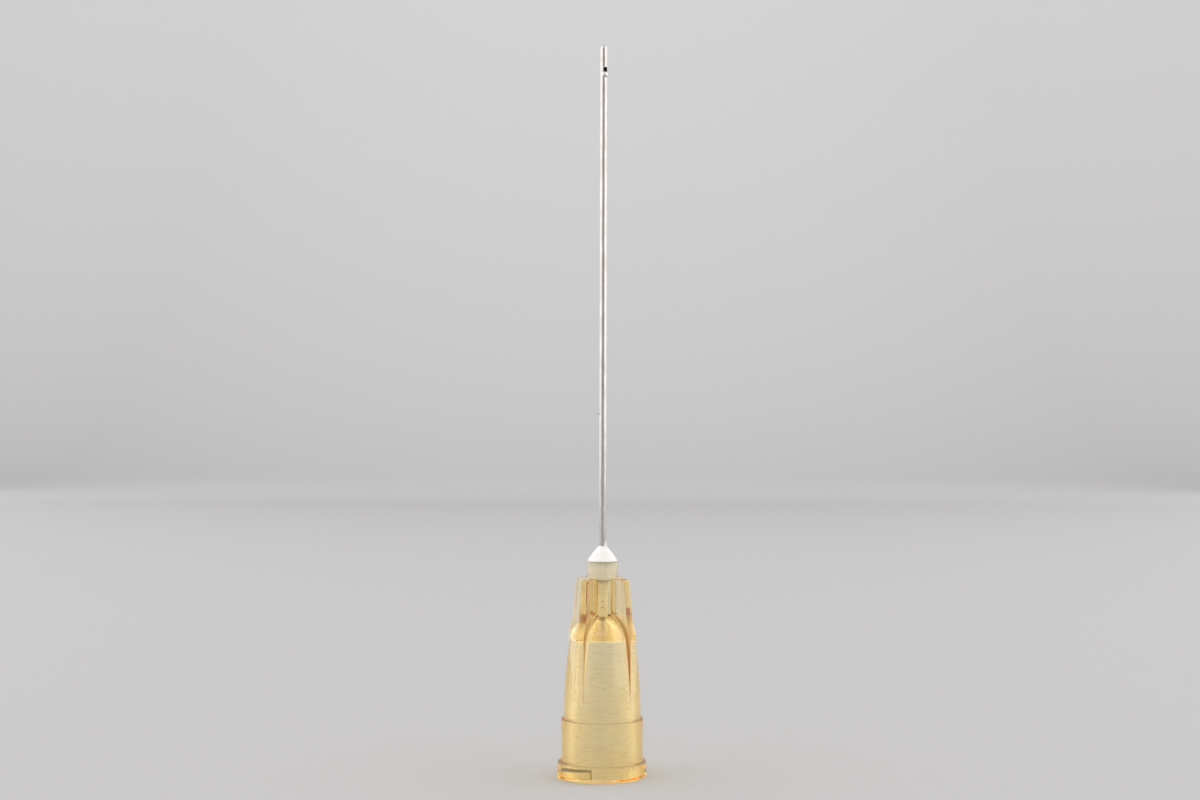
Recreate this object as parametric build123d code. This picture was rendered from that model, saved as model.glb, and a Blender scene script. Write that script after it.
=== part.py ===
from build123d import *
import os

# Blunt side-port needle standing on the mouth of its hub
# Lengths are in mm, +Z is up, and the origin is the centre of the ring that the hub stands on

# Cannula: one drawn tube, closed at the tip
cannula_diameter = 0.515
lumen_diameter = 0.27
cannula_reach = 39.05
cannula_below_ceiling = 0.30
tip_rise = 0.20
tip_corner_radius = 0.11

# Side port near the tip
port_below_tip = 1.91
port_length = 0.40
port_width = 0.36
port_azimuth = -14.0
port_lip_rise = 0.11
port_lip_drop = 0.20
lumen_above_port = 0.15

# Socket for the syringe tip
socket_mouth_diameter = 4.30
socket_taper = 0.06
socket_mouth_chamfer = 0.14
socket_depth = 10.30
socket_corner_radius = 0.25
ceiling_rise = 1.00
bore_clearance = 0.012

# Barrel, collar and rest ring, each given by its wall or its step
barrel_foot_wall = 0.765
barrel_top_wall = 0.58
barrel_above_socket = 0.30
collar_step = 0.175
collar_height = 4.38
collar_edge_chamfer = 0.06
ring_step = 0.26
ring_height = 1.20
ring_foot_radius = 0.20
ring_top_chamfer = 0.10

# Lock lugs on the ring
lug_reach = 0.55
lug_angle = 46.0
lug_foot = 0.22
lug_height = 0.86
lug_face_slope = 0.20
lug_slant = 3.5
lug_corner_radius = 0.09
lug_root_depth = 0.30

# Shoulder and the round boss on it
shoulder_radius = 2.30
shoulder_rise = 1.54
boss_wall = 0.31
boss_height = 4.11

# Adhesive well in the boss, each radius given by its gap round the cannula
well_depth = 2.40
well_foot_gap = 0.06
well_throat_gap = 0.09
well_floor_gap = 0.45
well_floor_depth = 1.48
well_mouth_gap = 0.59

# Cured adhesive
bead_rise = 1.17
bead_bulge = 0.055
bead_setback = 0.01
run_rise = 0.36
run_thickness = 0.13
run_angle = 80.0
run_azimuth = -14.0

# Four fins that run down the barrel as ribs
fin_count = 4
fin_thickness = 0.76
fin_foot_proud = 0.14
fin_draft = 0.30
fin_corner_radius = 0.38
fin_edge_chamfer = 0.04
fin_top_below_rim = 1.30
rib_inset = 0.035
rib_shoulder_drop = 0.85
rib_shoulder_above_barrel = 0.25
rib_shoulder_radius = 0.45

# Radii that follow from the sizes above
cannula_radius = cannula_diameter / 2
bore_radius = cannula_radius + bore_clearance
barrel_foot_radius = socket_mouth_diameter / 2 + barrel_foot_wall
barrel_top_radius = (socket_mouth_diameter - socket_taper * socket_depth) / 2 + barrel_top_wall
collar_radius = barrel_foot_radius + collar_step
ring_radius = collar_radius + ring_step
well_mouth_radius = cannula_radius + well_mouth_gap
boss_radius = well_mouth_radius + boss_wall
rib_radius = barrel_foot_radius - rib_inset
fin_foot_radius = barrel_top_radius + fin_foot_proud
fin_top_radius = fin_foot_radius - fin_draft

# Heights that follow from the sizes above
ceiling_top = socket_depth + ceiling_rise
barrel_top = socket_depth + barrel_above_socket
boss_foot = barrel_top + shoulder_rise
rim = boss_foot + boss_height
well_foot = rim - well_depth
well_floor = rim - well_floor_depth
rib_top = barrel_top + rib_shoulder_above_barrel
fin_foot = rib_top + rib_shoulder_drop
fin_top = rim - fin_top_below_rim
cannula_foot = ceiling_top - cannula_below_ceiling
cannula_tip = rim + cannula_reach
port_height = cannula_tip - port_below_tip

SHARP = 0


def half_section(*lines):
    """Face between the axis and an outline drawn in radius and height."""
    return Plane.XZ * make_face(Curve() + list(lines))


def turned(*lines):
    """Solid of revolution about the upright axis."""
    return revolve(half_section(*lines), Axis.Z)


def socket_radius(height):
    """Radius of the six per cent taper at a height above the mouth."""
    return (socket_mouth_diameter - socket_taper * height) / 2


def hub_envelope():
    """Ring, collar, crowned barrel, domed shoulder and boss, turned as one."""
    foot = FilletPolyline(
        (0, 0),
        (ring_radius, 0),
        (ring_radius, ring_height - ring_top_chamfer),
        (ring_radius - ring_top_chamfer, ring_height),
        (collar_radius, ring_height),
        (collar_radius, collar_height - collar_edge_chamfer),
        (collar_radius - collar_edge_chamfer, collar_height),
        (barrel_foot_radius, collar_height),
        radius=[ring_foot_radius, SHARP, SHARP, SHARP, SHARP, SHARP],
    )
    crown = TangentArc(foot @ 1, (barrel_top_radius, barrel_top), tangent=(0, 1))
    shoulder = RadiusArc(crown @ 1, (boss_radius, boss_foot), -shoulder_radius)
    boss = Polyline(shoulder @ 1, (boss_radius, rim), (0, rim), (0, 0))
    return turned(foot, crown, shoulder, boss)


def fins():
    """Fins, drafted above the shoulder and upright where they run down as ribs, with eased edges."""
    outline = FilletPolyline(
        (0, collar_height),
        (rib_radius, collar_height),
        (rib_radius, rib_top),
        (fin_foot_radius, fin_foot),
        (fin_top_radius, fin_top),
        (0, fin_top),
        radius=[SHARP, rib_shoulder_radius, rib_shoulder_radius, fin_corner_radius],
    )
    blade = extrude(half_section(outline, Line(outline @ 1, outline @ 0)), fin_thickness / 2, both=True)
    rims = blade.faces().filter_by(Axis.Y).edges().filter_by(lambda edge: edge.center().X > bore_radius)
    outer = rims.filter_by(lambda edge: edge.center().Z > collar_height)
    return PolarLocations(0, fin_count) * chamfer(outer, fin_edge_chamfer)


def lock_lugs():
    """Two lugs, sloped on top and slanted like a screw thread, for a syringe's lock collar."""
    inner = ring_radius - lug_root_depth
    outer = ring_radius + lug_reach
    section = FilletPolyline(
        (inner, lug_foot),
        (outer, lug_foot),
        (outer, lug_height),
        (inner, lug_height + lug_face_slope),
        radius=lug_corner_radius,
    )
    face = half_section(section, Line(section @ 1, section @ 0))
    lug = revolve(Rot(0, 0, -lug_angle / 2) * face, Axis.Z, revolution_arc=lug_angle)
    middle = (lug_foot + lug_height) / 2
    slanted = Pos(0, 0, middle) * Rot(lug_slant, 0, 0) * Pos(0, 0, -middle) * lug
    return PolarLocations(0, 2, start_angle=90) * slanted


def socket():
    """Space for the syringe tip: mouth chamfer, taper, rounded corner and coned ceiling."""
    wall = FilletPolyline(
        (socket_radius(socket_mouth_chamfer), socket_mouth_chamfer),
        (socket_radius(socket_depth), socket_depth),
        (bore_radius, ceiling_top),
        radius=socket_corner_radius,
    )
    mouth = Polyline((0, 0), (socket_radius(0) + socket_mouth_chamfer, 0), wall @ 0)
    return turned(mouth, wall, Polyline(wall @ 1, (0, ceiling_top), (0, 0)))


def well_wall():
    """Wall of the adhesive well: a narrow funnel, a floor and a wide cup that opens at the rim."""
    return Polyline(
        (cannula_radius + well_foot_gap, well_foot),
        (cannula_radius + well_throat_gap, well_floor),
        (cannula_radius + well_floor_gap, well_floor),
        (well_mouth_radius, rim),
    )


def well():
    """Space for the adhesive, with the cannula's bore under it."""
    wall = well_wall()
    below = Polyline((0, ceiling_top), (bore_radius, ceiling_top), (bore_radius, well_foot), wall @ 0)
    return turned(below, wall, Polyline(wall @ 1, (0, rim), (0, ceiling_top)))


def hub():
    """The whole moulding."""
    return hub_envelope() + fins() + lock_lugs() - socket() - well()


def side_port():
    """Oval cutter that opens the lumen to one side."""
    slot = Plane.YZ * SlotOverall(port_length, port_width, rotation=90)
    return Pos(0, 0, port_height) * extrude(slot, cannula_diameter)


def port_lip():
    """Round swelling at the foot of the port, where the tube wall was pressed out."""
    height = port_height - port_length / 2 - port_lip_drop
    return Pos(port_lip_rise, 0, height) * Sphere(cannula_radius)


def lumen():
    """Channel from the open foot to just above the port, with a coned end."""
    radius = lumen_diameter / 2
    top = port_height + port_length / 2 + lumen_above_port
    return turned(
        Polyline((0, cannula_foot), (radius, cannula_foot), (radius, top), (0, top + radius), (0, cannula_foot))
    )


def cannula():
    """Drawn tube with a closed rounded tip, a side port and an open foot."""
    skin = FilletPolyline(
        (cannula_radius, cannula_foot),
        (cannula_radius, cannula_tip - tip_rise),
        (0, cannula_tip),
        radius=tip_corner_radius,
    )
    rod = turned(skin, Polyline(skin @ 1, (0, cannula_foot), skin @ 0))
    aimed = Rot(0, 0, port_azimuth)
    return rod + aimed * port_lip() - lumen() - aimed * side_port()


def adhesive_run():
    """Thin run of adhesive drawn up one side of the cannula."""
    foot = (cannula_radius, rim + bead_rise - run_thickness)
    crest = (cannula_radius, rim + bead_rise + run_rise)
    toe = (cannula_radius + run_thickness, rim + bead_rise - run_thickness)
    face = half_section(Polyline(foot, toe, crest, foot))
    return revolve(Rot(0, 0, run_azimuth - run_angle / 2) * face, Axis.Z, revolution_arc=run_angle)


def adhesive_bead():
    """Cured adhesive: the filled well, the dome on the rim and a run up the cannula."""
    wall = well_wall()
    dome = SagittaArc((boss_radius - bead_setback, rim), (cannula_radius, rim + bead_rise), bead_bulge)
    core = Polyline(dome @ 1, (cannula_radius, well_foot), wall @ 0)
    return turned(wall, Line(wall @ 1, dome @ 0), dome, core) + adhesive_run()


PIECES = {
    "hub": hub,
    "cannula": cannula,
    "adhesive_bead": adhesive_bead,
}

os.makedirs("parts", exist_ok=True)
for name, build in PIECES.items():
    export_step(build(), f"parts/{name}.step")
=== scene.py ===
from math import asin, cos, pi, radians, sin, sqrt, tan

import bmesh
import bpy
from mathutils import Matrix, Vector


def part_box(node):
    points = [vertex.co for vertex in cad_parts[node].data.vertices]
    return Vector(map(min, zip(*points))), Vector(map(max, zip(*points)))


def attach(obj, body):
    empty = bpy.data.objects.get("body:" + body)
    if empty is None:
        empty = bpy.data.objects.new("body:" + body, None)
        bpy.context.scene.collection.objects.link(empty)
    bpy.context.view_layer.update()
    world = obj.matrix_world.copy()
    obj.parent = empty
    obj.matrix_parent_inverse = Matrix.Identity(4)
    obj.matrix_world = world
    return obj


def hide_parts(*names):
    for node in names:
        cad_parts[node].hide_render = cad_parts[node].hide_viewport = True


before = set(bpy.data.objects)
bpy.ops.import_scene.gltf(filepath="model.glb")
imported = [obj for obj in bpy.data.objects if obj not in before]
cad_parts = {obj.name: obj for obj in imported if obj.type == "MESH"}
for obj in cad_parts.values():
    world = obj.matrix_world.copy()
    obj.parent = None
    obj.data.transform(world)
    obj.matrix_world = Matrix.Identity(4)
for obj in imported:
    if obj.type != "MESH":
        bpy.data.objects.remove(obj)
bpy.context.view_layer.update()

# Blunt side-port needle: finish of the clear hub, the drawn tube and the cured adhesive
# Pieces are drawn in mm and brought to metres at the end of their making
MM = 0.001

# Fineness of the meshes
ROUND_STEPS = 192
TUBE_STEPS = 72
BEAD_STEPS = 96
LUG_STEPS = 24
BOW_STEPS = 20
ROUNDING_STEPS = 7
EASING_STEPS = 3
ROOT_STEPS = 4
ROOT_RINGS = 14
OVAL_STEPS = (48, 32)
MERGE = 1e-5
CUT_PAST = 0.5

# Angles past which an edge stays sharp, in degrees
HUB_SHARP = 32
TUBE_SHARP = 35
BEAD_SHARP = 60

# Ring, collar and barrel, as the solid has them
RING_RADIUS = 3.35
RING_HEIGHT = 1.20
RING_FOOT_ROUNDING = 0.20
RING_TOP_ROUNDING = 0.16
COLLAR_RADIUS = 3.09
COLLAR_HEIGHT = 4.38
COLLAR_ROUNDING = 0.09
STEP_ROUNDING = 0.05
BARREL_FOOT = 2.915
BARREL_FOOT_HEIGHT = COLLAR_HEIGHT + 0.10
BARREL_TOP = 2.421
BARREL_TOP_HEIGHT = 10.60
CROWN_RADIUS = 37.5

# Shoulder and boss
SHOULDER_RADIUS = 2.30
BOSS_RADIUS = 1.1575
BOSS_FOOT_HEIGHT = 12.14
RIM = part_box("hub")[1][2] / MM
RIM_ROUNDING = 0.05

# Socket and bore
SOCKET_MOUTH = 2.15
SOCKET_TAPER = 0.03
SOCKET_DEPTH = 10.30
SOCKET_CHAMFER = 0.14
MOUTH_ROUNDING = 0.05
SOCKET_CORNER = 0.25
CEILING_TOP = SOCKET_DEPTH + 1.00
BORE = 0.2695
BORE_ROUNDING = 0.04

# Fins and the ribs under them
FIN_TURNS = (0, 90, 180, 270)
FIN_THICKNESS = 0.76
FIN_FOOT_RADIUS = 2.561
FIN_FOOT_HEIGHT = 11.70
FIN_TOP_RADIUS = 2.261
FIN_TOP_HEIGHT = 14.95
FIN_CORNER = 0.38
FIN_EASING = 0.05
RIB_RADIUS = 2.88
RIB_FOOT_HEIGHT = COLLAR_HEIGHT + 0.30
RIB_TOP_HEIGHT = 10.85
RIB_SHOULDER = 0.45

# Fillets along the ribs and fins: size, shares of the rib and of the crown, and room at the inner end
ROOT_RADIUS = 0.20
ROOT_SINK = 0.02
ROOT_SHARE_OF_RIB = 0.8
ROOT_START_ON_CROWN = 0.36
ROOT_END_ROOM = 0.2

# Lock lugs
LUG_TURNS = (90, 270)
LUG_ROOT = RING_RADIUS - 0.30
LUG_REACH = 3.90
LUG_FOOT = 0.22
LUG_HEIGHT = 0.86
LUG_SLOPE = 0.20
LUG_ANGLE = 46.0
LUG_SLANT = 3.5
LUG_CORNER = 0.09
LUG_EASING = 0.04

# Adhesive: the well that it fills, its dome, and its film down the bore
WELL_MOUTH = 0.8475
WELL_FLOOR = 0.7075
WELL_CORNER = 0.15
WELL_THROAT = 0.3475
WELL_FLOOR_HEIGHT = RIM - 1.48
WELL_FOOT = 0.3175
WELL_FOOT_HEIGHT = RIM - 2.40
WETTING = 0.004
DOME_FOOT = BOSS_RADIUS - 0.03
DOME_BOW = 5.0
DOME_SHOULDER_GAP = 0.04
DOME_SHOULDER_HEIGHT = RIM + 1.08
DOME_TOP_HEIGHT = RIM + 1.12
FILM_FOOT_HEIGHT = 12.06
FILM_GAP_HEIGHTS = (12.74, 13.19)
FILM_GAP_SIZE = (0.03, 0.085, 0.04)

# Run of adhesive up the tube, a slim cone with a drawn-in waist
RUN_AZIMUTH = 2.0
RUN_SINK = 0.02
RUN_FOOT = 0.28
RUN_FOOT_HEIGHT = RIM + 0.80
RUN_WAIST = 0.12
RUN_WAIST_HEIGHT = RIM + 1.14
RUN_WAIST_ROUNDING = 1.6
RUN_CREST = 0.05
RUN_CREST_HEIGHT = RIM + 1.50
RUN_CREST_ROUNDING = 0.03
RUN_TIP_HEIGHT = RIM + 1.53

# Tube and its lumen
TUBE_RADIUS = 0.2575
TUBE_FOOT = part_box("cannula")[0][2] / MM
TUBE_FOOT_ROUNDING = 0.02
TUBE_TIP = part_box("cannula")[1][2] / MM
TIP_RISE = 0.20
TIP_ROUNDING = 0.14
LUMEN_RADIUS = 0.135
LUMEN_ABOVE_PORT = 0.15

# Side port, the swelling at its foot, and a fleck stuck to the tube
PORT_AZIMUTH = -14.0
PORT_HEIGHT = TUBE_TIP - 1.91
PORT_LENGTH = 0.40
PORT_WIDTH = 0.36
PORT_DEPTH = 0.30
PORT_PROUD = 0.02
SWELLING_HEIGHT = PORT_HEIGHT - PORT_LENGTH / 2 - 0.20
SWELLING_RISE = 0.11
SWELLING_SINK = 0.002
FLECK_HEIGHT = 27.35
FLECK_AZIMUTH = 216.0
FLECK_SIZE = (0.17, 0.06, 0.05)
FLECK_PROUD = 0.09

# Azimuth of the side with the scratch and the gaps in the film
FRONT_AZIMUTH = -54.0

# Scratch on the collar: its middle, half length, half width, slant and waves
SCRATCH_ASIDE = 0.15
SCRATCH_HEIGHT = 3.25
SCRATCH_HALF_LENGTH = 0.26
SCRATCH_HALF_WIDTH = 0.035
SCRATCH_SLANT = 0.35
SCRATCH_WAVE = 0.07
SCRATCH_WAVE_LENGTH = 0.09

# Clear plastic
PLASTIC_IOR = 1.49
PLASTIC_CLEAR = (1.0, 0.985, 0.95)
PLASTIC_MARKED = (0.84, 0.80, 0.75)
PLASTIC_DEPTH_COLOUR = (0.998, 0.78, 0.05, 1)
PLASTIC_DENSITY = 370.0
LAMP_LIGHT_TINT = (0.97, 0.97, 0.96, 1)
HAZE_ROUGHNESS = 0.38
LUG_HAZE = 0.3
PLASTIC_RELIEF = 0.012
MARK_RELIEF_SHARE = 0.28
SKIN_RELIEF_SHARE = 0.3
SCRATCH_RELIEF_SHARE = 3.0

# Steel and adhesive
STEEL_DARK = (0.53, 0.50, 0.48)
STEEL_LIGHT = (0.63, 0.61, 0.60)
# Near-black painted shade for the steel walls of the lumen and the port
STEEL_LUMEN_PAINTED_SHADE = (0.07, 0.06, 0.05)
STEEL_RELIEF = 0.003
ADHESIVE_DARK = (0.75, 0.74, 0.71)
ADHESIVE_LIGHT = (0.82, 0.815, 0.80)
ADHESIVE_RELIEF = 0.02

# Floor, backdrop and surroundings, in metres
SWEEP_DEPTH = 0.90
SWEEP_FRONT = 0.50
SWEEP_WIDTH = 2.4
SWEEP_HEIGHT = 1.2
SWEEP_BEND = 0.35
FLOOR_COLOUR = (0.42, 0.42, 0.425, 1)
FLOOR_ROUGHNESS = 0.9
FLOOR_SHEEN = 0.1
WORLD_COLOUR = (0.50, 0.475, 0.455, 1)

# Camera, level and square to the tube
CAMERA_AZIMUTH = 36.0
CAMERA_DISTANCE = 142.0
CAMERA_HEIGHT = 28.4
CAMERA_ASIDE = 0.22
CAMERA_LEAN = 0.15
LENS = 56.3
SENSOR = 36.0
CLIP_START = 5.0

# Light bounces, enough to cross every wall of the clear hub
GLASS_BOUNCES = 32


def drawn(bm, *corners):
    """Chain of edges through corners, each a radius, a height, its rounding and the bow of the run to it."""
    to_round = []
    last = None
    for x, z, rounding, bow in [(*corner, 0, 0)[:4] for corner in corners]:
        if bow:
            last = bowed(bm, last, Vector((x, 0, z)), bow)
        else:
            vert = bm.verts.new((x, 0, z))
            if last and (last.co.x or x):
                bm.edges.new((last, vert))
            last = vert
        if rounding:
            to_round.append((last, rounding))
    for vert, rounding in to_round:
        before, after = (edge.other_vert(vert).co - vert.co for edge in vert.link_edges)
        bmesh.ops.bevel(
            bm,
            geom=[vert],
            offset=rounding / tan(before.angle(after) / 2),
            offset_type="OFFSET",
            affect="VERTICES",
            segments=ROUNDING_STEPS,
            profile=0.5,
            material=-1,
        )


def bow_centre(start, end, radius):
    """Centre of the outward arc of a given radius between two places."""
    chord = end - start
    inward = Vector((-chord.z, 0, chord.x)).normalized()
    return start + chord / 2 + inward * sqrt(radius * radius - chord.length_squared / 4)


def bow_angle(start, end, radius):
    """Turn of that arc about the Y axis."""
    return -2 * asin((end - start).length / 2 / radius)


def bowed(bm, start, end, radius):
    """Outward arc of a given radius, swept from a vertex to a place, and the vertex at its end."""
    centre = bow_centre(start.co, end, radius)
    angle = bow_angle(start.co, end, radius)
    swept = bmesh.ops.spin(bm, geom=[start], cent=centre, axis=(0, 1, 0), angle=angle, steps=BOW_STEPS)
    return swept["geom_last"][0]


def about_z(angle, size=3):
    """Rotation about the upright axis by an angle in degrees."""
    return Matrix.Rotation(radians(angle), size, "Z")


def turn_all(bm, matrix, centre=(0, 0, 0)):
    """Turns every vertex of a bmesh about a centre."""
    bmesh.ops.rotate(bm, verts=bm.verts, cent=centre, matrix=matrix)


def turned(name, steps, *corners):
    """Object of an outline turned fully round the upright axis, with its poles merged."""
    bm = bmesh.new()
    drawn(bm, *corners)
    bmesh.ops.spin(
        bm,
        geom=bm.verts[:] + bm.edges[:],
        cent=(0, 0, 0),
        axis=(0, 0, 1),
        angle=2 * pi,
        steps=steps,
        use_merge=True,
    )
    bmesh.ops.remove_doubles(bm, verts=bm.verts, dist=MERGE)
    bmesh.ops.recalc_face_normals(bm, faces=bm.faces)
    return to_object(bm, name)


def oval(name, size, place, azimuth):
    """Ball stretched to half sizes and set at a radius, a height and an azimuth."""
    bm = bmesh.new()
    bmesh.ops.create_uvsphere(bm, u_segments=OVAL_STEPS[0], v_segments=OVAL_STEPS[1], radius=1)
    bmesh.ops.scale(bm, verts=bm.verts, vec=size)
    bmesh.ops.translate(bm, verts=bm.verts, vec=(place[0], 0, place[1]))
    turn_all(bm, about_z(azimuth))
    return to_object(bm, name)


def eased(bm, edges, size):
    """Edges rounded over by a given size."""
    bmesh.ops.bevel(
        bm,
        geom=edges,
        offset=size,
        offset_type="OFFSET",
        affect="EDGES",
        segments=EASING_STEPS,
        profile=0.5,
        material=-1,
    )


def to_object(bm, name):
    """Object that holds a finished bmesh."""
    mesh = bpy.data.meshes.new(name)
    bm.to_mesh(mesh)
    bm.free()
    piece = bpy.data.objects.new(name, mesh)
    bpy.context.scene.collection.objects.link(piece)
    return piece


def joined(base, tools, operation):
    """Mesh object made of a base and its tools by union or difference, which uses the tools up."""
    for tool in tools:
        cut = base.modifiers.new(tool.name, "BOOLEAN")
        cut.operation = operation
        cut.solver = "EXACT"
        cut.object = tool
    made = bpy.data.meshes.new_from_object(base.evaluated_get(bpy.context.evaluated_depsgraph_get()))
    base.modifiers.clear()
    base.data = made
    for tool in tools:
        bpy.data.objects.remove(tool, do_unlink=True)
    return base


def finished(piece, name, material, replaced, sharp_angle):
    """Piece in metres with smooth faces, sharp edges by angle, its name, material, body and slot."""
    piece.name = piece.data.name = name
    mesh = piece.data
    mesh.transform(Matrix.Scale(MM, 4))
    for polygon in mesh.polygons:
        polygon.use_smooth = True
    mesh.set_sharp_from_angle(angle=radians(sharp_angle))
    mesh.materials.clear()
    mesh.materials.append(material)
    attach(piece, "root")
    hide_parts(replaced)
    return piece


def socket_radius(height):
    """Radius of the taper at a height above the mouth."""
    return SOCKET_MOUTH - SOCKET_TAPER * height


def envelope():
    """Outside of the hub without fins or lugs."""
    return turned(
        "envelope",
        ROUND_STEPS,
        (0, 0),
        (RING_RADIUS, 0, RING_FOOT_ROUNDING),
        (RING_RADIUS, RING_HEIGHT, RING_TOP_ROUNDING),
        (COLLAR_RADIUS, RING_HEIGHT, STEP_ROUNDING),
        (COLLAR_RADIUS, COLLAR_HEIGHT, COLLAR_ROUNDING),
        (BARREL_FOOT, COLLAR_HEIGHT, STEP_ROUNDING),
        (BARREL_FOOT, BARREL_FOOT_HEIGHT),
        (BARREL_TOP, BARREL_TOP_HEIGHT, 0, CROWN_RADIUS),
        (BOSS_RADIUS, BOSS_FOOT_HEIGHT, 0, SHOULDER_RADIUS),
        (BOSS_RADIUS, RIM, RIM_ROUNDING),
        (0, RIM),
    )


def cavity():
    """Socket, bore and adhesive well as one solid of air, running past the mouth and the rim."""
    return turned(
        "cavity",
        ROUND_STEPS,
        (0, -CUT_PAST),
        (SOCKET_MOUTH + SOCKET_CHAMFER, -CUT_PAST),
        (SOCKET_MOUTH + SOCKET_CHAMFER, 0),
        (socket_radius(SOCKET_CHAMFER), SOCKET_CHAMFER, MOUTH_ROUNDING),
        (socket_radius(SOCKET_DEPTH), SOCKET_DEPTH, SOCKET_CORNER),
        (BORE, CEILING_TOP, BORE_ROUNDING),
        (BORE, WELL_FOOT_HEIGHT),
        (WELL_FOOT, WELL_FOOT_HEIGHT),
        (WELL_THROAT, WELL_FLOOR_HEIGHT),
        (WELL_FLOOR, WELL_FLOOR_HEIGHT, WELL_CORNER),
        (WELL_MOUTH, RIM),
        (WELL_MOUTH, RIM + CUT_PAST),
        (0, RIM + CUT_PAST),
    )


def fin(turn):
    """One fin and the rib under it, from the axis out, turned to its place."""
    bm = bmesh.new()
    drawn(
        bm,
        (0, RIB_FOOT_HEIGHT),
        (RIB_RADIUS, RIB_FOOT_HEIGHT),
        (RIB_RADIUS, RIB_TOP_HEIGHT, RIB_SHOULDER),
        (FIN_FOOT_RADIUS, FIN_FOOT_HEIGHT, RIB_SHOULDER),
        (FIN_TOP_RADIUS, FIN_TOP_HEIGHT, FIN_CORNER),
        (0, FIN_TOP_HEIGHT),
    )
    side = bmesh.ops.contextual_create(bm, geom=bm.verts[:] + bm.edges[:])["faces"]
    grown = bmesh.ops.extrude_face_region(bm, geom=side)["geom"]
    moved = [part for part in grown if isinstance(part, bmesh.types.BMVert)]
    bmesh.ops.translate(bm, verts=moved, vec=(0, FIN_THICKNESS, 0))
    bmesh.ops.translate(bm, verts=bm.verts, vec=(0, -FIN_THICKNESS / 2, 0))
    outer = [edge for edge in bm.edges if all(vert.co.z > RIB_FOOT_HEIGHT for vert in edge.verts)]
    rims = [edge for edge in outer if edge.verts[0].co.y * edge.verts[1].co.y > 0]
    eased(bm, rims, FIN_EASING)
    turn_all(bm, about_z(turn))
    bmesh.ops.recalc_face_normals(bm, faces=bm.faces)
    return to_object(bm, f"fin_{turn}")


def root_section(bm, foot, normal, size):
    """Closed ring round the concave fillet between the skin at a place and the side of a fin."""
    half = FIN_THICKNESS / 2
    x = sqrt(foot.x * foot.x - half * half)
    corner = Vector((x, half, foot.z))
    skin = Vector((normal.x * x / foot.x, normal.x * half / foot.x, normal.z))
    up_fin = Vector((skin.x, 0, skin.z)).normalized()
    off_fin = (Vector((0, 1, 0)) - skin * skin.y).normalized()
    sunk = corner - (up_fin + off_fin) * ROOT_SINK
    places = [sunk, corner + off_fin * size - up_fin * ROOT_SINK]
    for step in range(ROOT_STEPS + 1):
        angle = pi / 2 * step / ROOT_STEPS
        places.append(corner + off_fin * size * (1 - sin(angle)) + up_fin * size * (1 - cos(angle)))
    places.append(corner + up_fin * size - off_fin * ROOT_SINK)
    verts = [bm.verts.new(place) for place in places]
    return [bm.edges.new(pair) for pair in zip(verts, verts[1:] + verts[:1])]


def fin_root(turn, side):
    """Fillet along one side of a rib and the fin above it, where they rise from the skin of the hub."""
    barrel_foot = Vector((BARREL_FOOT, 0, BARREL_FOOT_HEIGHT))
    barrel_top = Vector((BARREL_TOP, 0, BARREL_TOP_HEIGHT))
    boss_foot = Vector((BOSS_RADIUS, 0, BOSS_FOOT_HEIGHT))
    crown = (barrel_foot, barrel_top, CROWN_RADIUS, ROOT_START_ON_CROWN)
    shoulder = (barrel_top, boss_foot, SHOULDER_RADIUS, 0)
    bm = bmesh.new()
    rings = []
    for start, end, radius, first in (crown, shoulder):
        centre = bow_centre(start, end, radius)
        for step in range(ROOT_RINGS + 1):
            share = first + (1 - first) * step / ROOT_RINGS
            turned_by = Matrix.Rotation(bow_angle(start, end, radius) * share, 3, "Y")
            foot = centre + turned_by @ (start - centre)
            size = min(ROOT_RADIUS, ROOT_SHARE_OF_RIB * (RIB_RADIUS - foot.x))
            if foot.x > FIN_THICKNESS / 2 + ROOT_END_ROOM:
                rings.append(root_section(bm, foot, (foot - centre) / radius, size))
    for pair in zip(rings, rings[1:]):
        bmesh.ops.bridge_loops(bm, edges=pair[0] + pair[1])
    for ring in (rings[0], rings[-1]):
        bmesh.ops.contextual_create(bm, geom=ring)
    bmesh.ops.scale(bm, verts=bm.verts, vec=(1, side, 1))
    turn_all(bm, about_z(turn))
    bmesh.ops.recalc_face_normals(bm, faces=bm.faces)
    return to_object(bm, f"root_{turn}_{side}")


def lock_lug(turn):
    """One lock lug: sloped on top, slanted like a screw thread, with eased edges."""
    bm = bmesh.new()
    drawn(
        bm,
        (LUG_ROOT, LUG_FOOT),
        (LUG_REACH, LUG_FOOT, LUG_CORNER),
        (LUG_REACH, LUG_HEIGHT, LUG_CORNER),
        (LUG_ROOT, LUG_HEIGHT + LUG_SLOPE),
    )
    section = bmesh.ops.contextual_create(bm, geom=bm.verts[:] + bm.edges[:])["faces"]
    turn_all(bm, about_z(-LUG_ANGLE / 2))
    bmesh.ops.spin(
        bm, geom=section, cent=(0, 0, 0), axis=(0, 0, 1), angle=radians(LUG_ANGLE), steps=LUG_STEPS
    )
    bmesh.ops.recalc_face_normals(bm, faces=bm.faces)
    ends = [face for face in bm.faces if len(face.verts) > 4]
    eased(bm, list({edge for face in ends for edge in face.edges}), LUG_EASING)
    middle = Vector((0, 0, (LUG_FOOT + LUG_HEIGHT) / 2))
    turn_all(bm, Matrix.Rotation(radians(LUG_SLANT), 3, "X"), middle)
    turn_all(bm, about_z(turn))
    return to_object(bm, f"lug_{turn}")


def build_hub(material):
    """The clear moulding."""
    hub = envelope()
    joined(hub, [fin(turn) for turn in FIN_TURNS], "UNION")
    joined(hub, [fin_root(turn, side) for turn in FIN_TURNS for side in (-1, 1)], "UNION")
    joined(hub, [lock_lug(turn) for turn in LUG_TURNS], "UNION")
    joined(hub, [cavity()], "DIFFERENCE")
    return finished(hub, "hub_moulding", material, "hub", HUB_SHARP)


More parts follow.
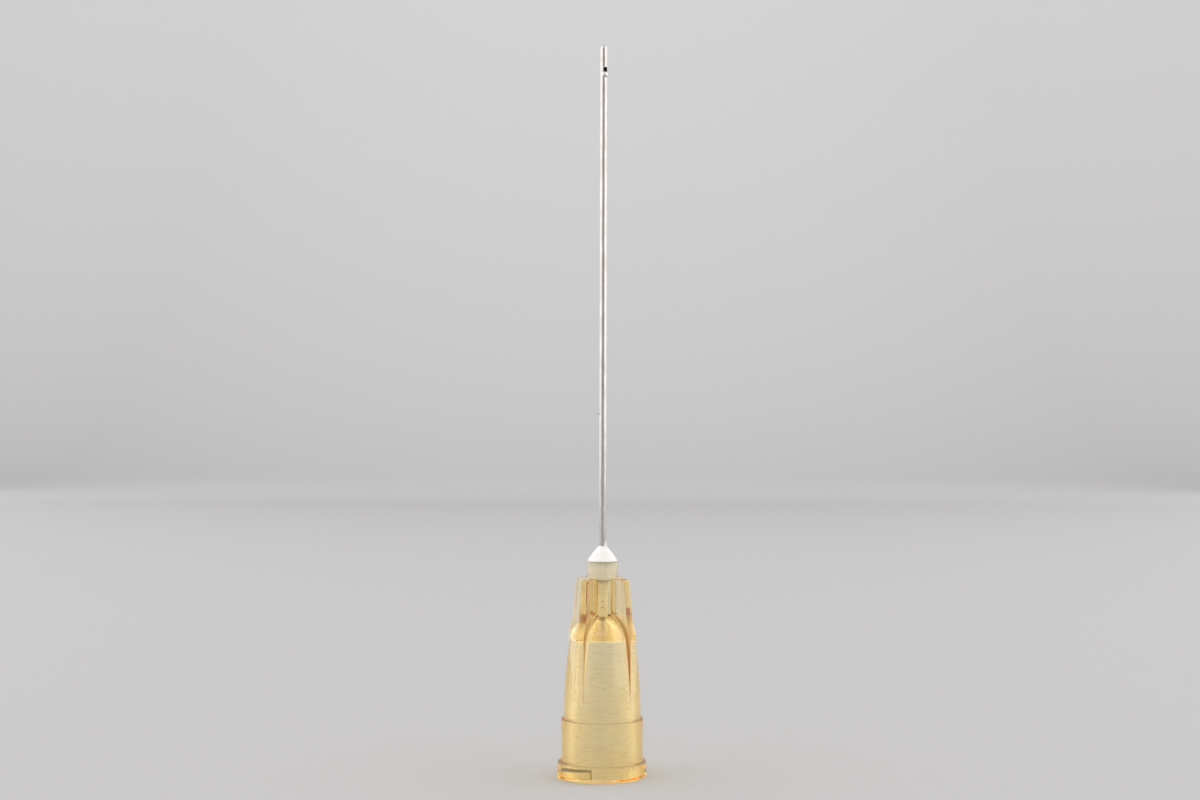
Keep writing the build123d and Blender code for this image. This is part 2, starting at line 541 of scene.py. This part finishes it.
def tube_blank():
    """The drawn tube as a solid rod with a closed tip."""
    return turned(
        "tube",
        TUBE_STEPS,
        (0, TUBE_FOOT),
        (TUBE_RADIUS, TUBE_FOOT, TUBE_FOOT_ROUNDING),
        (TUBE_RADIUS, TUBE_TIP - TIP_RISE, TIP_ROUNDING),
        (0, TUBE_TIP),
    )


def lumen():
    """Channel of the tube, open at the foot and coned just above the port."""
    top = PORT_HEIGHT + PORT_LENGTH / 2 + LUMEN_ABOVE_PORT
    return turned(
        "lumen",
        TUBE_STEPS,
        (0, TUBE_FOOT - CUT_PAST),
        (LUMEN_RADIUS, TUBE_FOOT - CUT_PAST),
        (LUMEN_RADIUS, top),
        (0, top + LUMEN_RADIUS),
    )


def build_tube(material):
    """The drawn tube with its side port, the swelling at the foot of the port and a fleck stuck to it."""
    tube = tube_blank()
    ball = (TUBE_RADIUS - SWELLING_SINK,) * 3
    swelling = oval("swelling", ball, (SWELLING_RISE, SWELLING_HEIGHT), PORT_AZIMUTH)
    port_size = (PORT_DEPTH, PORT_WIDTH / 2, PORT_LENGTH / 2)
    port = oval("port", port_size, (TUBE_RADIUS + PORT_PROUD, PORT_HEIGHT), PORT_AZIMUTH)
    fleck = oval("fleck", FLECK_SIZE, (TUBE_RADIUS + FLECK_PROUD, FLECK_HEIGHT), FLECK_AZIMUTH)
    joined(tube, [swelling], "UNION")
    joined(tube, [lumen(), port], "DIFFERENCE")
    joined(tube, [fleck], "UNION")
    return finished(tube, "drawn_tube", material, "cannula", TUBE_SHARP)


def adhesive_mass():
    """The filled well with its dome above and its film down the bore, each a hair into its neighbours."""
    inner = TUBE_RADIUS - WETTING
    return turned(
        "bead",
        BEAD_STEPS,
        (inner, DOME_TOP_HEIGHT),
        (inner, FILM_FOOT_HEIGHT),
        (BORE + WETTING, FILM_FOOT_HEIGHT),
        (BORE + WETTING, WELL_FOOT_HEIGHT),
        (WELL_FOOT + WETTING, WELL_FOOT_HEIGHT),
        (WELL_THROAT + WETTING, WELL_FLOOR_HEIGHT - WETTING),
        (WELL_FLOOR + WETTING, WELL_FLOOR_HEIGHT - WETTING, WELL_CORNER),
        (WELL_MOUTH + WETTING, RIM - WETTING),
        (DOME_FOOT, RIM - WETTING),
        (DOME_FOOT, RIM),
        (TUBE_RADIUS + DOME_SHOULDER_GAP, DOME_SHOULDER_HEIGHT, 0, DOME_BOW),
        (inner, DOME_TOP_HEIGHT),
    )


def adhesive_run():
    """Run of adhesive drawn up the tube's skin, as a slim cone that stands in the dome."""
    run = turned(
        "run",
        TUBE_STEPS,
        (0, RUN_FOOT_HEIGHT),
        (RUN_FOOT, RUN_FOOT_HEIGHT),
        (RUN_WAIST, RUN_WAIST_HEIGHT, RUN_WAIST_ROUNDING),
        (RUN_CREST, RUN_CREST_HEIGHT, RUN_CREST_ROUNDING),
        (0, RUN_TIP_HEIGHT),
    )
    run.data.transform(about_z(RUN_AZIMUTH, 4) @ Matrix.Translation((TUBE_RADIUS - RUN_SINK, 0, 0)))
    return run


def build_adhesive(material):
    """The cured adhesive, with two small gaps in its film."""
    bead = adhesive_mass()
    joined(bead, [adhesive_run()], "UNION")
    places = [(BORE, height) for height in FILM_GAP_HEIGHTS]
    joined(bead, [oval("gap", FILM_GAP_SIZE, place, FRONT_AZIMUTH) for place in places], "DIFFERENCE")
    return finished(bead, "cured_adhesive", material, "adhesive_bead", BEAD_SHARP)


def new_material(name):
    """Empty node material with its output and shader."""
    material = bpy.data.materials.new(name)
    material.use_nodes = True
    nodes = material.node_tree.nodes
    return material, nodes, material.node_tree.links, nodes["Principled BSDF"], nodes["Material Output"]


def new_group(name, inputs, outputs):
    """Empty shader group with named inputs and outputs, its nodes, its links and its two ends."""
    group = bpy.data.node_groups.new(name, "ShaderNodeTree")
    for label, kind in inputs:
        group.interface.new_socket(label, in_out="INPUT", socket_type=kind)
    for label in outputs:
        group.interface.new_socket(label, in_out="OUTPUT", socket_type="NodeSocketFloat")
    nodes = group.nodes
    return group, nodes, group.links, nodes.new("NodeGroupInput"), nodes.new("NodeGroupOutput")


def unevenness_group():
    """Noise on object coordinates with a given number of features per metre along each axis."""
    inputs = (("Features", "NodeSocketVector"), ("Detail", "NodeSocketFloat"))
    group, nodes, links, start, end = new_group("unevenness", inputs, ("Value",))
    coordinates = nodes.new("ShaderNodeTexCoord")
    mapping = nodes.new("ShaderNodeMapping")
    noise = nodes.new("ShaderNodeTexNoise")
    noise.inputs["Scale"].default_value = 1.0
    links.new(coordinates.outputs["Object"], mapping.inputs["Vector"])
    links.new(start.outputs["Features"], mapping.inputs["Scale"])
    links.new(mapping.outputs["Vector"], noise.inputs["Vector"])
    links.new(start.outputs["Detail"], noise.inputs["Detail"])
    links.new(noise.outputs["Fac"], end.inputs["Value"])
    return group


def place_group():
    """Distance from the upright axis, and the object coordinates."""
    group, nodes, links, _, end = new_group("place", (), ("Radius", "X", "Y", "Z"))
    coordinates = nodes.new("ShaderNodeTexCoord")
    split = nodes.new("ShaderNodeSeparateXYZ")
    links.new(coordinates.outputs["Object"], split.inputs["Vector"])
    for axis in "XYZ":
        links.new(split.outputs[axis], end.inputs[axis])
    squares = [calc(nodes, links, "MULTIPLY", split.outputs[axis], split.outputs[axis]) for axis in "XY"]
    radius = calc(nodes, links, "SQRT", calc(nodes, links, "ADD", *squares))
    links.new(radius, end.inputs["Radius"])
    return group


def unevenness(nodes, group, features, detail):
    """Value of the unevenness group for its numbers of features and its detail."""
    node = nodes.new("ShaderNodeGroup")
    node.node_tree = group
    node.inputs["Features"].default_value = features
    node.inputs["Detail"].default_value = detail
    return node.outputs["Value"]


def place_values(nodes, group):
    """Radius, X, Y and Z of the place group."""
    node = nodes.new("ShaderNodeGroup")
    node.node_tree = group
    return [node.outputs[name] for name in ("Radius", "X", "Y", "Z")]


def ramp(nodes, links, value, low, high, to_low, to_high):
    """Value mapped from one range to another and clamped."""
    node = nodes.new("ShaderNodeMapRange")
    for socket, number in zip(("From Min", "From Max", "To Min", "To Max"), (low, high, to_low, to_high)):
        node.inputs[socket].default_value = number
    links.new(value, node.inputs["Value"])
    return node.outputs["Result"]


def calc(nodes, links, operation, *values):
    """Result of one sum on sockets or numbers."""
    node = nodes.new("ShaderNodeMath")
    node.operation = operation
    for socket, value in zip(node.inputs, values):
        if isinstance(value, (int, float)):
            socket.default_value = value
        else:
            links.new(value, socket)
    return node.outputs[0]


def product(nodes, links, first, *others):
    """Product of several sockets."""
    for other in others:
        first = calc(nodes, links, "MULTIPLY", first, other)
    return first


def along(nodes, links, x, y, azimuth):
    """Distance from the axis along an azimuth."""
    turn = radians(azimuth)
    x_share = calc(nodes, links, "MULTIPLY", x, cos(turn))
    y_share = calc(nodes, links, "MULTIPLY", y, sin(turn))
    return calc(nodes, links, "ADD", x_share, y_share)


def near(nodes, links, value, middle, reach):
    """Mask that is 1 within a reach of a middle, both in mm, and fades to 0 over half the reach again."""
    off = calc(nodes, links, "ABSOLUTE", calc(nodes, links, "SUBTRACT", value, middle * MM))
    return ramp(nodes, links, off, reach * MM, 1.5 * reach * MM, 1, 0)


def beyond(nodes, links, value, limit, fade=0.05):
    """Mask that rises from 0 to 1 over a fade past a limit, both in mm."""
    return ramp(nodes, links, value, limit * MM, (limit + fade) * MM, 0, 1)


def up_to(nodes, links, value, limit, fade):
    """Mask that falls from 1 to 0 over a fade past a limit, both in mm."""
    return ramp(nodes, links, value, limit * MM, (limit + fade) * MM, 1, 0)


def mixed(nodes, links, share, low, high):
    """Colour between two colours or sockets, by a share."""
    mix = nodes.new("ShaderNodeMix")
    mix.data_type = "RGBA"
    links.new(share, mix.inputs["Factor"])
    for name, colour in (("A", low), ("B", high)):
        socket = next(end for end in mix.inputs if end.name == name and end.type == "RGBA")
        if isinstance(colour, tuple):
            socket.default_value = (*colour, 1)
        else:
            links.new(colour, socket)
    return next(end for end in mix.outputs if end.type == "RGBA")


def bump(nodes, links, height, relief):
    """Normal from a height, whose full range is a relief in mm."""
    node = nodes.new("ShaderNodeBump")
    node.inputs["Distance"].default_value = relief * MM
    links.new(height, node.inputs["Height"])
    return node.outputs["Normal"]


def scratch_mask(nodes, links, x, y, z):
    """Short wavy scratch on the front of the collar."""
    aside = along(nodes, links, x, y, FRONT_AZIMUTH + 90)
    front = along(nodes, links, x, y, FRONT_AZIMUTH)
    wave = calc(nodes, links, "SINE", calc(nodes, links, "DIVIDE", z, SCRATCH_WAVE_LENGTH * MM))
    bent = calc(nodes, links, "MULTIPLY_ADD", wave, -SCRATCH_WAVE * MM, aside)
    slanted = calc(nodes, links, "MULTIPLY_ADD", z, SCRATCH_SLANT, bent)
    middle = SCRATCH_ASIDE + SCRATCH_SLANT * SCRATCH_HEIGHT
    return product(
        nodes,
        links,
        near(nodes, links, slanted, middle, SCRATCH_HALF_WIDTH),
        near(nodes, links, z, SCRATCH_HEIGHT, SCRATCH_HALF_LENGTH),
        beyond(nodes, links, front, COLLAR_RADIUS - 0.1),
    )


def rib_root_mask(nodes, links, x, y, z, cone):
    """Both sides of each rib, and all round the foot of each fin."""
    off_middle = calc(nodes, links, "MINIMUM", *(calc(nodes, links, "ABSOLUTE", axis) for axis in (x, y)))
    off_end = calc(
        nodes,
        links,
        "MAXIMUM",
        beyond(nodes, links, off_middle, 0.30, 0.08),
        near(nodes, links, z, FIN_FOOT_HEIGHT - 0.2, 0.8),
    )
    return product(
        nodes,
        links,
        off_end,
        up_to(nodes, links, off_middle, 0.60, 0.15),
        beyond(nodes, links, z, 5.5, 1.5),
        beyond(nodes, links, cone, 2.4, 0.1),
    )


def unpolished(nodes, links, radius, x, y, z, cone):
    """Mask of what the mould left hazy: the socket, the roots of the ribs, the steps and the lugs."""
    haze = product(
        nodes,
        links,
        up_to(nodes, links, cone, SOCKET_MOUTH + 0.02, 0.02),
        up_to(nodes, links, z, CEILING_TOP + 0.05, 0.05),
    )
    steps = [
        product(nodes, links, near(nodes, links, z, height, 0.12), beyond(nodes, links, radius, inner - 0.05))
        for height, inner in ((COLLAR_HEIGHT, BARREL_FOOT), (RING_HEIGHT, COLLAR_RADIUS), (0, COLLAR_RADIUS))
    ]
    lugs = ramp(nodes, links, radius, RING_RADIUS * MM, (RING_RADIUS + 0.03) * MM, 0, LUG_HAZE)
    for mask in (rib_root_mask(nodes, links, x, y, z, cone), lugs, *steps):
        haze = calc(nodes, links, "MAXIMUM", haze, mask)
    return haze


def clear_orange_plastic(noise, axes):
    """Clear orange moulding, hazed where its mould was unpolished, with ring marks on the socket wall."""
    material, nodes, links, shader, output = new_material("clear_orange_plastic")
    shader.inputs["Transmission Weight"].default_value = 1.0
    shader.inputs["IOR"].default_value = PLASTIC_IOR
    radius, x, y, z = place_values(nodes, axes)
    cone = calc(nodes, links, "MULTIPLY_ADD", z, SOCKET_TAPER, radius)
    rings = ramp(nodes, links, unevenness(nodes, noise, (1500, 1500, 11500), 1.0), 0.52, 0.64, 0, 1)
    marks = calc(nodes, links, "MULTIPLY", rings, near(nodes, links, cone, SOCKET_MOUTH, 0.02))
    links.new(mixed(nodes, links, marks, PLASTIC_CLEAR, PLASTIC_MARKED), shader.inputs["Base Color"])
    skin = calc(nodes, links, "MULTIPLY", unevenness(nodes, noise, (700, 700, 400), 1.0), SKIN_RELIEF_SHARE)
    height = calc(nodes, links, "MULTIPLY_ADD", marks, MARK_RELIEF_SHARE, skin)
    scratch = scratch_mask(nodes, links, x, y, z)
    height = calc(nodes, links, "MULTIPLY_ADD", scratch, SCRATCH_RELIEF_SHARE, height)
    links.new(bump(nodes, links, height, PLASTIC_RELIEF), shader.inputs["Normal"])
    polished = ramp(nodes, links, unevenness(nodes, noise, (1500, 1500, 1500), 3.0), 0.3, 0.75, 0.02, 0.06)
    haze = unpolished(nodes, links, radius, x, y, z, cone)
    links.new(calc(nodes, links, "MULTIPLY_ADD", haze, HAZE_ROUGHNESS, polished), shader.inputs["Roughness"])
    volume = nodes.new("ShaderNodeVolumeAbsorption")
    volume.inputs["Color"].default_value = PLASTIC_DEPTH_COLOUR
    volume.inputs["Density"].default_value = PLASTIC_DENSITY
    links.new(volume.outputs["Volume"], output.inputs["Volume"])
    lit_through(nodes, links, shader, output, LAMP_LIGHT_TINT)
    return material


def lit_through(nodes, links, shader, output, tint):
    """Lets lamps through a clear surface, tinted, so that what is inside is lit and the shadow is pale."""
    way = nodes.new("ShaderNodeLightPath")
    clear = nodes.new("ShaderNodeBsdfTransparent")
    clear.inputs["Color"].default_value = tint
    choice = nodes.new("ShaderNodeMixShader")
    links.new(way.outputs["Is Shadow Ray"], choice.inputs["Fac"])
    links.new(shader.outputs["BSDF"], choice.inputs[1])
    links.new(clear.outputs["BSDF"], choice.inputs[2])
    links.new(choice.outputs["Shader"], output.inputs["Surface"])


def needle_steel(noise, axes):
    """Drawn steel: lines along the tube and faint blotches, with near-black painted shade and more roughness
    in the lumen and the port.
    """
    material, nodes, links, shader, _ = new_material("needle_steel")
    shader.inputs["Metallic"].default_value = 1.0
    lines = unevenness(nodes, noise, (22000, 22000, 350), 3.0)
    blotches = unevenness(nodes, noise, (2500, 2500, 900), 2.0)
    radius, _, _, z = place_values(nodes, axes)
    # Mask of the lumen and port walls, which get the painted shade and a duller roughness
    inside = product(
        nodes,
        links,
        up_to(nodes, links, radius, 0.19, 0.03),
        up_to(nodes, links, z, TUBE_TIP - 1.3, 0.1),
    )
    skin = mixed(nodes, links, ramp(nodes, links, blotches, 0.35, 0.65, 0, 1), STEEL_DARK, STEEL_LIGHT)
    links.new(mixed(nodes, links, inside, skin, STEEL_LUMEN_PAINTED_SHADE), shader.inputs["Base Color"])
    polish = ramp(nodes, links, lines, 0.3, 0.7, 0.16, 0.30)
    links.new(calc(nodes, links, "MULTIPLY_ADD", inside, 0.4, polish), shader.inputs["Roughness"])
    links.new(bump(nodes, links, lines, STEEL_RELIEF), shader.inputs["Normal"])
    return material


def white_adhesive(noise):
    """Cured adhesive: white, faintly uneven, with a soft gloss."""
    material, nodes, links, shader, _ = new_material("white_adhesive")
    cloud = unevenness(nodes, noise, (2200, 2200, 2200), 3.0)
    tone = ramp(nodes, links, cloud, 0.35, 0.65, 0, 1)
    links.new(mixed(nodes, links, tone, ADHESIVE_DARK, ADHESIVE_LIGHT), shader.inputs["Base Color"])
    links.new(ramp(nodes, links, cloud, 0.3, 0.7, 0.28, 0.45), shader.inputs["Roughness"])
    links.new(bump(nodes, links, cloud, ADHESIVE_RELIEF), shader.inputs["Normal"])
    return material


def build_stage():
    """Pale floor that sweeps up into the backdrop, square to the camera."""
    bm = bmesh.new()
    drawn(bm, (SWEEP_DEPTH, SWEEP_HEIGHT), (SWEEP_DEPTH, 0, SWEEP_BEND), (-SWEEP_FRONT, 0))
    grown = bmesh.ops.extrude_edge_only(bm, edges=bm.edges[:])["geom"]
    moved = [part for part in grown if isinstance(part, bmesh.types.BMVert)]
    bmesh.ops.translate(bm, verts=moved, vec=(0, SWEEP_WIDTH, 0))
    bmesh.ops.translate(bm, verts=bm.verts, vec=(0, -SWEEP_WIDTH / 2, 0))
    turn_all(bm, about_z(CAMERA_AZIMUTH + 90))
    bmesh.ops.recalc_face_normals(bm, faces=bm.faces)
    sweep = to_object(bm, "sweep")
    for polygon in sweep.data.polygons:
        polygon.use_smooth = True
    material, _, _, shader, _ = new_material("pale_floor")
    shader.inputs["Base Color"].default_value = FLOOR_COLOUR
    shader.inputs["Roughness"].default_value = FLOOR_ROUGHNESS
    shader.inputs["Specular IOR Level"].default_value = FLOOR_SHEEN
    sweep.data.materials.append(material)


def soft_box(name, place, aim, size, radiance):
    """Rectangular lamp of a given radiance, turned to face a point."""
    lamp = bpy.data.lights.new(name, "AREA")
    lamp.shape = "RECTANGLE"
    lamp.size, lamp.size_y = size
    lamp.energy = radiance * pi * size[0] * size[1]
    holder = bpy.data.objects.new(name, lamp)
    holder.location = place
    holder.rotation_euler = (Vector(aim) - Vector(place)).to_track_quat("-Z", "Y").to_euler()
    bpy.context.scene.collection.objects.link(holder)


def view_axes():
    """Unit vectors of the camera's view: towards the camera, and to its right."""
    angle = radians(CAMERA_AZIMUTH)
    return Vector((sin(angle), -cos(angle), 0)), Vector((cos(angle), sin(angle), 0))


def build_lights():
    """Soft boxes at both sides, on the floor beyond them, overhead, in front and on the backdrop."""
    towards, right = view_axes()
    up = Vector((0, 0, 1))
    centre = Vector((0, 0, 0))
    for name, outward in (("left", -right), ("right", right)):
        middle = outward * 0.21 - towards * 0.08 + up * 0.2
        soft_box(f"{name}_box", middle, aim=middle - outward, size=(0.70, 0.40), radiance=1.25)
        soft_box(f"{name}_floor_box", middle, aim=middle + outward, size=(0.70, 0.40), radiance=1.25)
    soft_box("top_box", up * 0.75 - towards * 0.15, aim=-towards * 0.15, size=(1.2, 1.2), radiance=0.42)
    soft_box("key_box", up * 0.70 - towards * 0.15, aim=centre, size=(0.35, 0.35), radiance=1.0)
    soft_box("front_box", up * 0.50 + towards * 0.50, aim=centre, size=(0.45, 0.30), radiance=1.6)
    behind = up * 0.46 - towards * 0.20
    soft_box("backdrop_box", behind, aim=up * 0.75 - towards, size=(1.8, 0.4), radiance=4.1)
    world = bpy.data.worlds.new("studio")
    world.use_nodes = True
    world.node_tree.nodes["Background"].inputs["Color"].default_value = WORLD_COLOUR
    bpy.context.scene.world = world


def build_camera():
    """Level camera on the photograph's side of the object."""
    towards, right = view_axes()
    camera = bpy.data.cameras.new("camera")
    camera.lens = LENS
    camera.sensor_width = SENSOR
    camera.clip_start = CLIP_START * MM
    holder = bpy.data.objects.new("camera", camera)
    holder.location = (towards * CAMERA_DISTANCE - right * CAMERA_ASIDE + Vector((0, 0, CAMERA_HEIGHT))) * MM
    turn = about_z(CAMERA_AZIMUTH, 4) @ Matrix.Rotation(pi / 2, 4, "X")
    holder.rotation_euler = (turn @ about_z(CAMERA_LEAN, 4)).to_euler()
    bpy.context.scene.collection.objects.link(holder)
    bpy.context.scene.camera = holder


build_camera()
build_stage()
build_lights()
noise_of = unevenness_group()
place_of = place_group()
build_hub(clear_orange_plastic(noise_of, place_of))
build_tube(needle_steel(noise_of, place_of))
build_adhesive(white_adhesive(noise_of))

bpy.context.scene.view_settings.view_transform = "Standard"
bpy.context.scene.cycles.max_bounces = GLASS_BOUNCES
bpy.context.scene.cycles.transmission_bounces = GLASS_BOUNCES
bpy.context.scene.cycles.glossy_bounces = GLASS_BOUNCES
